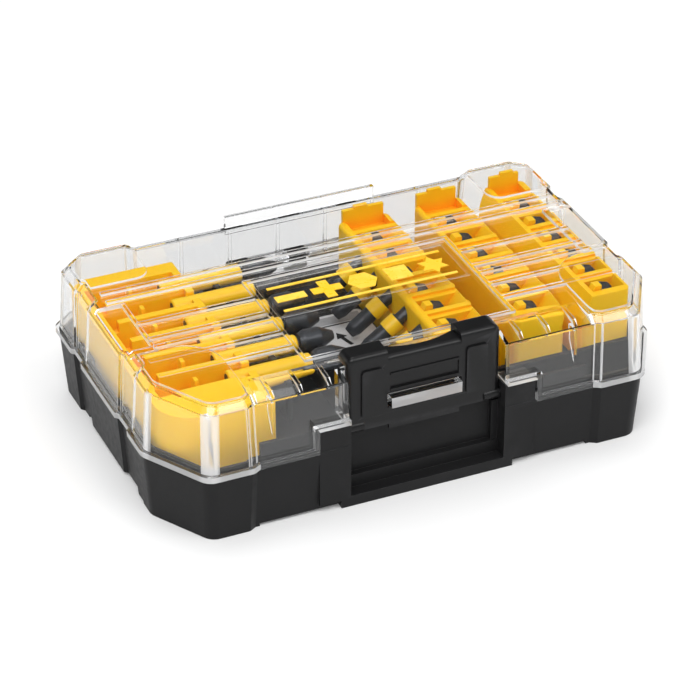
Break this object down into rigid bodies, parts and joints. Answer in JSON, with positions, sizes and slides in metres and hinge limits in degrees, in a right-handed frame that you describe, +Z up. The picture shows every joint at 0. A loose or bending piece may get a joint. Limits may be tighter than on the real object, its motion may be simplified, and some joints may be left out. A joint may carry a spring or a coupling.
{
  "type": "screwdriver bit set",
  "caption": "Latched case with a clear ribbed lid, holding hex insert bits in yellow bars and a row of long sleeved bits.",
  "frame": {"origin": "centre of the bottom of the closed case, on the surface that it stands on", "axes": "+X to the right seen from the latch, +Y to the back where the hinge is, +Z up"},
  "size_m": [0.205, 0.1316, 0.06],
  "materials": {
    "base_plastic": "fine moulded texture, low sheen",
    "tray_plastic": "moulded, low sheen",
    "clear_plastic": "clear, polished",
    "latch_plastic": "moulded, satin",
    "yellow_print": "printed ink, gloss",
    "yellow_plastic": "moulded, satin gloss",
    "yellow_sleeve": "moulded, satin gloss",
    "bit_steel": "black oxide steel, satin",
    "pin_steel": "plain steel wire",
    "card": "printed card, matt"
  },
  "bodies": {
    "base": {"angled_bit_1": "bit_steel", "angled_bit_2": "bit_steel", "angled_bit_3": "bit_steel", "angled_bit_4": "bit_steel", "angled_bit_5": "bit_steel", "angled_bit_band_1": "yellow_sleeve", "angled_bit_band_2": "yellow_sleeve", "angled_bit_band_3": "yellow_sleeve", "angled_bit_band_4": "yellow_sleeve", "angled_bit_band_5": "yellow_sleeve", "base_shell": "base_plastic", "bit_bar_left": "yellow_plastic", "bit_bar_middle": "yellow_plastic", "bit_bar_right": "yellow_plastic", "centre_tray": "tray_plastic", "hinge_pin": "pin_steel", "insert_bit_left_1": "bit_steel", "insert_bit_left_2": "bit_steel", "insert_bit_left_3": "bit_steel", "insert_bit_left_4": "bit_steel", "insert_bit_left_5": "bit_steel", "insert_bit_left_6": "bit_steel", "insert_bit_middle_1": "bit_steel", "insert_bit_middle_2": "bit_steel", "insert_bit_middle_3": "bit_steel", "insert_bit_middle_4": "bit_steel", "insert_bit_middle_5": "bit_steel", "insert_bit_middle_6": "bit_steel", "insert_bit_right_1": "bit_steel", "insert_bit_right_2": "bit_steel", "insert_bit_right_3": "bit_steel", "insert_bit_right_4": "bit_steel", "insert_bit_right_5": "bit_steel", "insert_bit_right_6": "bit_steel", "insert_card": "card", "latch_pin_left": "pin_steel", "latch_pin_right": "pin_steel", "long_bit_1": "bit_steel", "long_bit_2": "bit_steel", "long_bit_3": "bit_steel", "long_bit_4": "bit_steel", "long_bit_5": "bit_steel", "long_bit_6": "bit_steel", "long_bit_holder": "yellow_plastic", "long_bit_sleeve_1": "yellow_sleeve", "long_bit_sleeve_2": "yellow_sleeve", "long_bit_sleeve_3": "yellow_sleeve", "long_bit_sleeve_4": "yellow_sleeve", "long_bit_sleeve_5": "yellow_sleeve", "long_bit_sleeve_6": "yellow_sleeve"},
    "lid": {"lid_shell": "clear_plastic", "lid_stripes": "yellow_print", "lid_icons": "yellow_print"},
    "latch": {"latch": "latch_plastic"}
  },
  "joints": [
    {"name": "lid_hinge", "type": "hinge", "parent": "base", "child": "lid", "pos_m": [0, 0.06325, 0.031], "axis": [-1, 0, 0], "range_deg": [0, 110]},
    {"name": "latch_pivot", "type": "hinge", "parent": "base", "child": "latch", "pos_m": [0, -0.0574, 0.0305], "axis": [1, 0, 0], "range_deg": [0, 45]}
  ]
}
